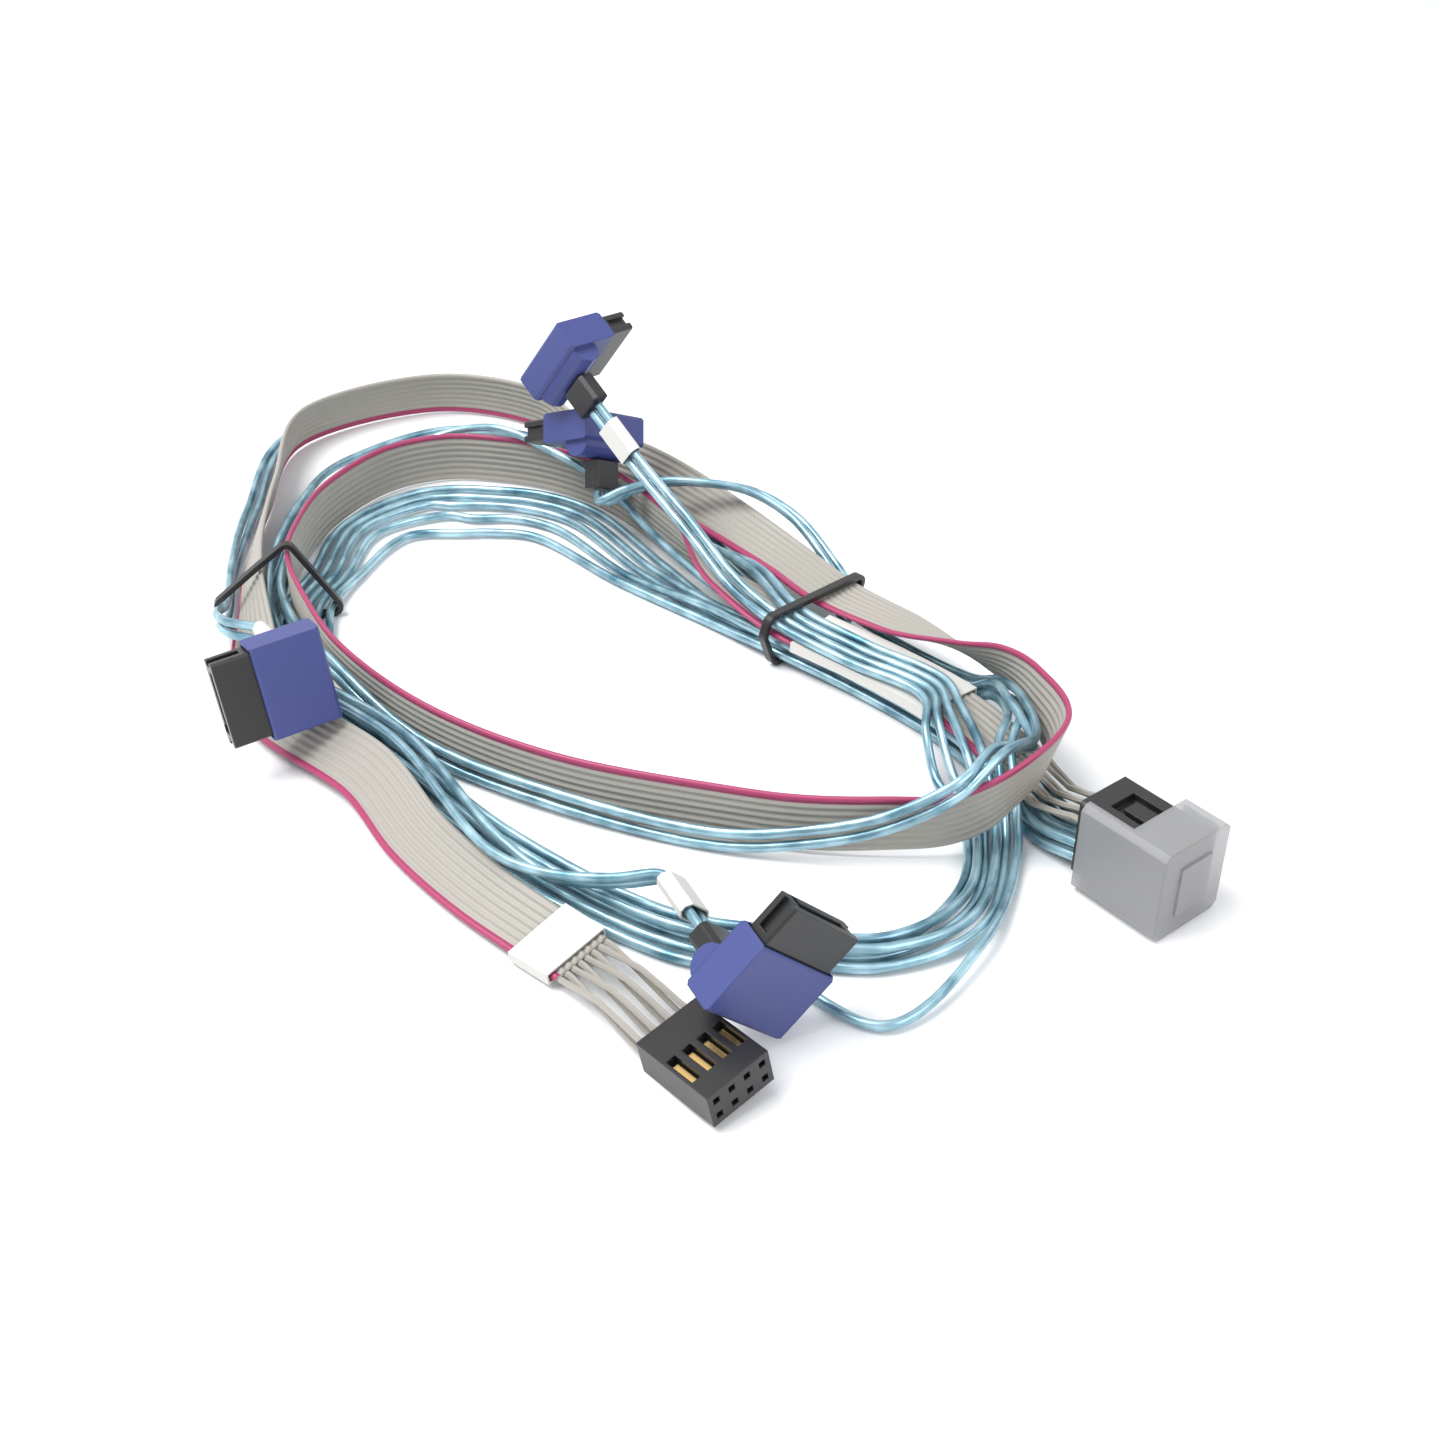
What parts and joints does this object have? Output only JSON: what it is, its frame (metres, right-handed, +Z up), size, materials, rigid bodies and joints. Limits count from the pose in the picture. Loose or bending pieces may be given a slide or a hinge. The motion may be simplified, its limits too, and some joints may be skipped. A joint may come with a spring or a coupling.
{
  "type": "drive breakout cable",
  "caption": "coiled and tied drive breakout cable, from one capped multi-lane plug to drive heads and a pin header",
  "frame": {"origin": "bottom centre of the bounding box", "axes": "+Z up from the table, +Y the coil's long way as tied, away from the header"},
  "size_m": [0.1652, 0.2108, 0.0434],
  "materials": {
    "foil": "pale blue foil",
    "ribbon": "gray",
    "blue": "moulded blue",
    "black": "black",
    "cap": "milky",
    "gold": "gold plated",
    "board": "circuit board",
    "paper": "white label"
  },
  "bodies": {
    "root": {"head_1_overmould": "blue", "head_1_nose": "black", "head_1_contacts": "gold", "head_1_boot": "black", "head_2_overmould": "blue", "head_2_nose": "black", "head_2_contacts": "gold", "head_2_boot": "black", "head_3_overmould": "blue", "head_3_nose": "black", "head_3_contacts": "gold", "head_3_boot": "black", "head_4_overmould": "blue", "head_4_nose": "black", "head_4_contacts": "gold", "head_4_boot": "black", "header_housing": "black", "header_contact_1": "gold", "header_contact_2": "gold", "header_contact_3": "gold", "header_contact_4": "gold", "plug_body": "black", "plug_latch": "black", "plug_board": "board", "dust_cap": "cap", "strand_1": "foil", "strand_2": "foil", "strand_3": "foil", "strand_4": "foil", "strand_5": "foil", "strand_6": "foil", "strand_7": "foil", "strand_8": "foil", "ribbon": "ribbon", "ribbon_label_plug": "paper", "ribbon_label_header": "paper", "plug_wire_1": "ribbon", "plug_wire_2": "ribbon", "plug_wire_3": "ribbon", "plug_wire_4": "ribbon", "plug_wire_5": "ribbon", "plug_wire_6": "ribbon", "plug_wire_7": "ribbon", "plug_wire_8": "ribbon", "header_wire_1": "ribbon", "header_wire_2": "ribbon", "header_wire_3": "ribbon", "header_wire_4": "ribbon", "header_wire_5": "ribbon", "header_wire_6": "ribbon", "header_wire_7": "ribbon", "header_wire_8": "ribbon", "sleeve_1": "paper", "sleeve_2": "paper", "sleeve_3": "paper", "tie_1": "black", "tie_2": "black"}
  },
  "joints": []
}
